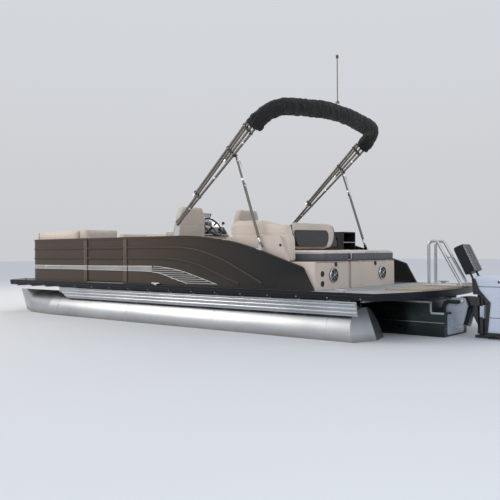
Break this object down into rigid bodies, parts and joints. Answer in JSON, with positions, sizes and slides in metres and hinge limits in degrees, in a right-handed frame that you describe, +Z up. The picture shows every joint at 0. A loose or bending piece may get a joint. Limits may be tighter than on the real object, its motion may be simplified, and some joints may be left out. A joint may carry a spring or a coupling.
{
  "type": "pontoon boat",
  "caption": "Aluminium pontoon boat with a fenced deck, lounges, swivel chairs, helm console, booted folding bimini, folded boarding ladder and tilting outboard motor.",
  "frame": {"origin": "centreline, half way along the deck, at the waterline", "axes": "+X to the bow, +Y to port, +Z up"},
  "size_m": [8.195, 2.654, 4.0933],
  "materials": {
    "deck_floor": "woven vinyl",
    "deck_edge": "satin anodised",
    "platform": "non-skid",
    "hull_aluminium": "brushed and polished",
    "frame_aluminium": "mill finish",
    "skirt_aluminium": "ribbed, satin",
    "fence_panel": "gloss",
    "seat_base": "moulded",
    "upholstery": "soft vinyl",
    "swing_shell": "moulded",
    "console_shell": "gelcoat",
    "windscreen": "tinted",
    "steering": "satin",
    "speaker": "mesh with chrome ring",
    "bimini_tube": "powder coat",
    "canvas": "woven",
    "fittings": "polished",
    "black_plastic": "moulded",
    "ladder_tube": "powder coat",
    "motor_paint": "gloss",
    "motor_cowl": "gloss",
    "propeller": "gloss",
    "hose": "ribbed"
  },
  "bodies": {
    "boat": {"deck": "deck_floor", "rub_rail": "deck_edge", "stern_platform": "platform", "tube_port": "hull_aluminium", "tube_starboard": "hull_aluminium", "tube_centre": "hull_aluminium", "motor_pod": "hull_aluminium", "cross_channels": "frame_aluminium", "tube_risers": "frame_aluminium", "skirt_port": "skirt_aluminium", "skirt_starboard": "skirt_aluminium", "fence_port_aft": "fence_panel", "fence_port_bow": "fence_panel", "fence_starboard": "fence_panel", "bow_lounge_base_port": "seat_base", "bow_lounge_base_starboard": "seat_base", "bow_lounge_pads_port": "upholstery", "bow_lounge_pads_starboard": "upholstery", "aft_lounge_base": "seat_base", "aft_lounge_pads": "upholstery", "bench_base": "seat_base", "bench_pads": "upholstery", "chair_posts": "fittings", "helm_console": "console_shell", "windscreen": "windscreen", "side_cubby": "seat_base", "stern_speakers": "speaker", "bimini_mounts": "fittings", "ladder_hoops": "ladder_tube", "motor_clamp": "motor_paint", "deck_cleats": "fittings", "rigging_hose": "hose"},
    "side_gate": {"side_gate": "fence_panel"},
    "bow_gate": {"bow_gate": "fence_panel"},
    "swing_back": {"swing_back": "swing_shell", "swing_back_pads": "upholstery"},
    "chair_companion": {"chair_companion": "upholstery"},
    "chair_helm": {"chair_helm": "upholstery"},
    "steering_wheel": {"steering_wheel": "steering"},
    "bimini": {"bimini_poles": "bimini_tube", "bimini_boot": "canvas", "stern_light": "fittings"},
    "bimini_struts": {"bimini_struts": "bimini_tube"},
    "ladder_steps": {"ladder_steps": "black_plastic"},
    "motor_swivel": {"motor_swivel": "motor_paint"},
    "motor": {"motor_leg": "motor_paint", "motor_cowl": "motor_cowl"},
    "propeller": {"propeller": "propeller"}
  },
  "joints": [
    {"name": "side_gate_hinge", "type": "hinge", "parent": "boat", "child": "side_gate", "pos_m": [1.395, 1.182, 0.515], "axis": [0, 0, 1], "range_deg": [0, 90]},
    {"name": "bow_gate_hinge", "type": "hinge", "parent": "boat", "child": "bow_gate", "pos_m": [2.917, 0.395, 0.515], "axis": [0, 0, -1], "range_deg": [0, 90]},
    {"name": "swing_back_pivot", "type": "hinge", "parent": "boat", "child": "swing_back", "pos_m": [-2.13, -0.0775, 0.575], "axis": [0, -1, 0], "range_deg": [0, 66]},
    {"name": "chair_companion_swivel", "type": "hinge", "parent": "boat", "child": "chair_companion", "pos_m": [0.24, 0.5, 0.8], "axis": [0, 0, 1], "continuous": true},
    {"name": "chair_helm_swivel", "type": "hinge", "parent": "boat", "child": "chair_helm", "pos_m": [0.16, -0.62, 0.8], "axis": [0, 0, 1], "continuous": true},
    {"name": "steering_wheel_turn", "type": "hinge", "parent": "boat", "child": "steering_wheel", "pos_m": [0.76191, -0.76, 1.35247], "axis": [-0.7809, 0, 0.6247], "range_deg": [-450, 450]},
    {"name": "bimini_pivot", "type": "hinge", "parent": "boat", "child": "bimini", "pos_m": [-0.475, 0, 1.3], "axis": [0, -1, 0], "range_deg": [0, 33]},
    {"name": "bimini_strut_pivot", "type": "hinge", "parent": "boat", "child": "bimini_struts", "pos_m": [-1.834, 0, 1.015], "axis": [0, 1, 0], "range_deg": [0, 43]},
    {"name": "ladder_pivot", "type": "hinge", "parent": "boat", "child": "ladder_steps", "pos_m": [-3.73996, -0.50884, 0.573], "axis": [0.1392, -0.9903, 0], "range_deg": [0, 165]},
    {"name": "motor_tilt", "type": "hinge", "parent": "boat", "child": "motor_swivel", "pos_m": [-3.815, 0, 0.392], "axis": [0, 1, 0], "range_deg": [0, 60]},
    {"name": "motor_steer", "type": "hinge", "parent": "motor_swivel", "child": "motor", "pos_m": [-3.99, 0, 0.25], "axis": [0, 0, 1], "range_deg": [-25, 25]},
    {"name": "propeller_spin", "type": "hinge", "parent": "motor", "child": "propeller", "pos_m": [-4.26, 0, -0.478], "axis": [1, 0, 0], "continuous": true}
  ],
  "couplings": [
    {"joint": "bimini_strut_pivot", "follows": "bimini_pivot", "ratio": 1.3},
    {"joint": "steering_wheel_turn", "follows": "motor_steer", "ratio": -15}
  ]
}
